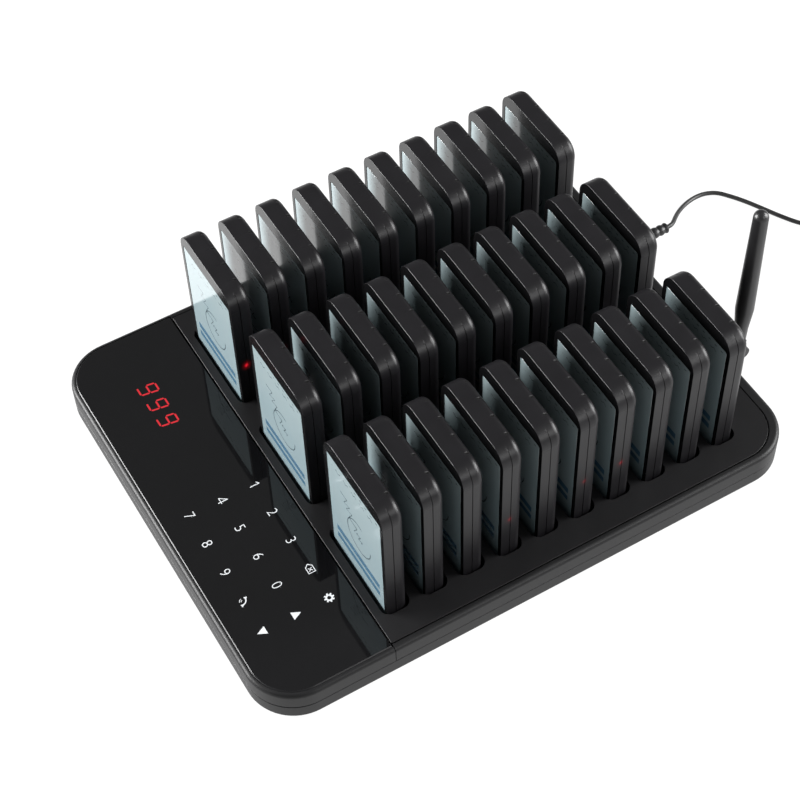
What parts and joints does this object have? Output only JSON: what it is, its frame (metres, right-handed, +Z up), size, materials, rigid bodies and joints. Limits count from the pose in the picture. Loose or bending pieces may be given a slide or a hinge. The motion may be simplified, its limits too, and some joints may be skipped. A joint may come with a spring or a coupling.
{
  "type": "restaurant pager set",
  "caption": "Coaster pagers standing in the slots of a flat charging base with a touch keypad, a lit number display, a folding aerial and a mains adapter lead.",
  "frame": {"origin": "on the surface the set stands on, under the middle of its base and aerial", "axes": "+Z up, +Y from the touch panel towards the aerial, +X to the right of a person at the panel"},
  "size_m": [0.2463, 0.4487, 0.1111],
  "materials": {
    "shell": "satin black, finely textured",
    "deck": "matte black, finely textured",
    "glass": "gloss black, back-printed, with white key legends",
    "board": "green solder mask",
    "display": "red seven-segment digits, lit",
    "socket_black": "satin black",
    "metal": "nickel plated",
    "foot": "matte",
    "aerial": "satin black",
    "cord": "satin black",
    "pager": "satin black, finely textured",
    "label": "glossy printed film, pale blue",
    "battery": "foil pouch",
    "buzzer": "satin black",
    "status_light": "clear red"
  },
  "bodies": {
    "base": {"lower_shell": "shell", "panel_housing": "shell", "touch_glass": "glass", "deck_housing": "shell", "slot_deck": "deck", "charging_board": "board", "main_board": "board", "display_module": "display", "dc_jack": "socket_black", "antenna_socket": "metal", "foot_front_left": "foot", "foot_front_right": "foot", "foot_rear_left": "foot", "foot_rear_right": "foot", "dc_plug": "socket_black", "cord_lead": "cord", "cord_coil": "cord", "cord_tail": "cord", "power_adapter": "socket_black", "plug_head": "metal"},
    "aerial_knuckle": {"antenna_knuckle": "socket_black"},
    "aerial_rod": {"antenna_rod": "aerial"},
    "pager_c01": {"pager_front_shell": "pager", "pager_rear_shell": "pager", "pager_label": "label", "pager_circuit_board": "board", "pager_battery": "battery", "pager_vibration_motor": "metal", "pager_buzzer": "buzzer", "pager_status_light": "status_light"},
    "motor_weight": {"pager_motor_weight": "metal"},
    "pager_a01": {"pager_a01": "pager"},
    "pager_a02": {"pager_a02": "pager"},
    "pager_a03": {"pager_a03": "pager"},
    "pager_a04": {"pager_a04": "pager"},
    "pager_a05": {"pager_a05": "pager"},
    "pager_a06": {"pager_a06": "pager"},
    "pager_a07": {"pager_a07": "pager"},
    "pager_a08": {"pager_a08": "pager"},
    "pager_a09": {"pager_a09": "pager"},
    "pager_a10": {"pager_a10": "pager"},
    "pager_b01": {"pager_b01": "pager"},
    "pager_b02": {"pager_b02": "pager"},
    "pager_b03": {"pager_b03": "pager"},
    "pager_b04": {"pager_b04": "pager"},
    "pager_b05": {"pager_b05": "pager"},
    "pager_b06": {"pager_b06": "pager"},
    "pager_b07": {"pager_b07": "pager"},
    "pager_b08": {"pager_b08": "pager"},
    "pager_b09": {"pager_b09": "pager"},
    "pager_b10": {"pager_b10": "pager"},
    "pager_c02": {"pager_c02": "pager"},
    "pager_c03": {"pager_c03": "pager"},
    "pager_c04": {"pager_c04": "pager"},
    "pager_c05": {"pager_c05": "pager"},
    "pager_c06": {"pager_c06": "pager"},
    "pager_c07": {"pager_c07": "pager"},
    "pager_c08": {"pager_c08": "pager"},
    "pager_c09": {"pager_c09": "pager"},
    "pager_c10": {"pager_c10": "pager"}
  },
  "joints": [
    {"name": "antenna_swivel", "type": "hinge", "parent": "base", "child": "aerial_knuckle", "pos_m": [0.048, 0.14725, 0.01115], "axis": [0, 1, 0], "range_deg": [-60, 90]},
    {"name": "antenna_tilt", "type": "hinge", "parent": "aerial_knuckle", "child": "aerial_rod", "pos_m": [0.048, 0.14725, 0.01115], "axis": [1, 0, 0], "range_deg": [-90, 0]},
    {"name": "eccentric_spin", "type": "hinge", "parent": "pager_c01", "child": "motor_weight", "pos_m": [0.0639, -0.07615, 0.0696], "axis": [1, 0, 0], "continuous": true},
    {"name": "lift_a01", "type": "slide", "parent": "base", "child": "pager_a01", "axis": [0, 0, 1], "range_m": [0, 0.095]},
    {"name": "lift_a02", "type": "slide", "parent": "base", "child": "pager_a02", "axis": [0, 0, 1], "range_m": [0, 0.095]},
    {"name": "lift_a03", "type": "slide", "parent": "base", "child": "pager_a03", "axis": [0, 0, 1], "range_m": [0, 0.095]},
    {"name": "lift_a04", "type": "slide", "parent": "base", "child": "pager_a04", "axis": [0, 0, 1], "range_m": [0, 0.095]},
    {"name": "lift_a05", "type": "slide", "parent": "base", "child": "pager_a05", "axis": [0, 0, 1], "range_m": [0, 0.095]},
    {"name": "lift_a06", "type": "slide", "parent": "base", "child": "pager_a06", "axis": [0, 0, 1], "range_m": [0, 0.095]},
    {"name": "lift_a07", "type": "slide", "parent": "base", "child": "pager_a07", "axis": [0, 0, 1], "range_m": [0, 0.095]},
    {"name": "lift_a08", "type": "slide", "parent": "base", "child": "pager_a08", "axis": [0, 0, 1], "range_m": [0, 0.095]},
    {"name": "lift_a09", "type": "slide", "parent": "base", "child": "pager_a09", "axis": [0, 0, 1], "range_m": [0, 0.095]},
    {"name": "lift_a10", "type": "slide", "parent": "base", "child": "pager_a10", "axis": [0, 0, 1], "range_m": [0, 0.095]},
    {"name": "lift_b01", "type": "slide", "parent": "base", "child": "pager_b01", "axis": [0, 0, 1], "range_m": [0, 0.095]},
    {"name": "lift_b02", "type": "slide", "parent": "base", "child": "pager_b02", "axis": [0, 0, 1], "range_m": [0, 0.095]},
    {"name": "lift_b03", "type": "slide", "parent": "base", "child": "pager_b03", "axis": [0, 0, 1], "range_m": [0, 0.095]},
    {"name": "lift_b04", "type": "slide", "parent": "base", "child": "pager_b04", "axis": [0, 0, 1], "range_m": [0, 0.095]},
    {"name": "lift_b05", "type": "slide", "parent": "base", "child": "pager_b05", "axis": [0, 0, 1], "range_m": [0, 0.095]},
    {"name": "lift_b06", "type": "slide", "parent": "base", "child": "pager_b06", "axis": [0, 0, 1], "range_m": [0, 0.095]},
    {"name": "lift_b07", "type": "slide", "parent": "base", "child": "pager_b07", "axis": [0, 0, 1], "range_m": [0, 0.095]},
    {"name": "lift_b08", "type": "slide", "parent": "base", "child": "pager_b08", "axis": [0, 0, 1], "range_m": [0, 0.095]},
    {"name": "lift_b09", "type": "slide", "parent": "base", "child": "pager_b09", "axis": [0, 0, 1], "range_m": [0, 0.095]},
    {"name": "lift_b10", "type": "slide", "parent": "base", "child": "pager_b10", "axis": [0, 0, 1], "range_m": [0, 0.095]},
    {"name": "lift_c01", "type": "slide", "parent": "base", "child": "pager_c01", "axis": [0, 0, 1], "range_m": [0, 0.095]},
    {"name": "lift_c02", "type": "slide", "parent": "base", "child": "pager_c02", "axis": [0, 0, 1], "range_m": [0, 0.095]},
    {"name": "lift_c03", "type": "slide", "parent": "base", "child": "pager_c03", "axis": [0, 0, 1], "range_m": [0, 0.095]},
    {"name": "lift_c04", "type": "slide", "parent": "base", "child": "pager_c04", "axis": [0, 0, 1], "range_m": [0, 0.095]},
    {"name": "lift_c05", "type": "slide", "parent": "base", "child": "pager_c05", "axis": [0, 0, 1], "range_m": [0, 0.095]},
    {"name": "lift_c06", "type": "slide", "parent": "base", "child": "pager_c06", "axis": [0, 0, 1], "range_m": [0, 0.095]},
    {"name": "lift_c07", "type": "slide", "parent": "base", "child": "pager_c07", "axis": [0, 0, 1], "range_m": [0, 0.095]},
    {"name": "lift_c08", "type": "slide", "parent": "base", "child": "pager_c08", "axis": [0, 0, 1], "range_m": [0, 0.095]},
    {"name": "lift_c09", "type": "slide", "parent": "base", "child": "pager_c09", "axis": [0, 0, 1], "range_m": [0, 0.095]},
    {"name": "lift_c10", "type": "slide", "parent": "base", "child": "pager_c10", "axis": [0, 0, 1], "range_m": [0, 0.095]}
  ]
}
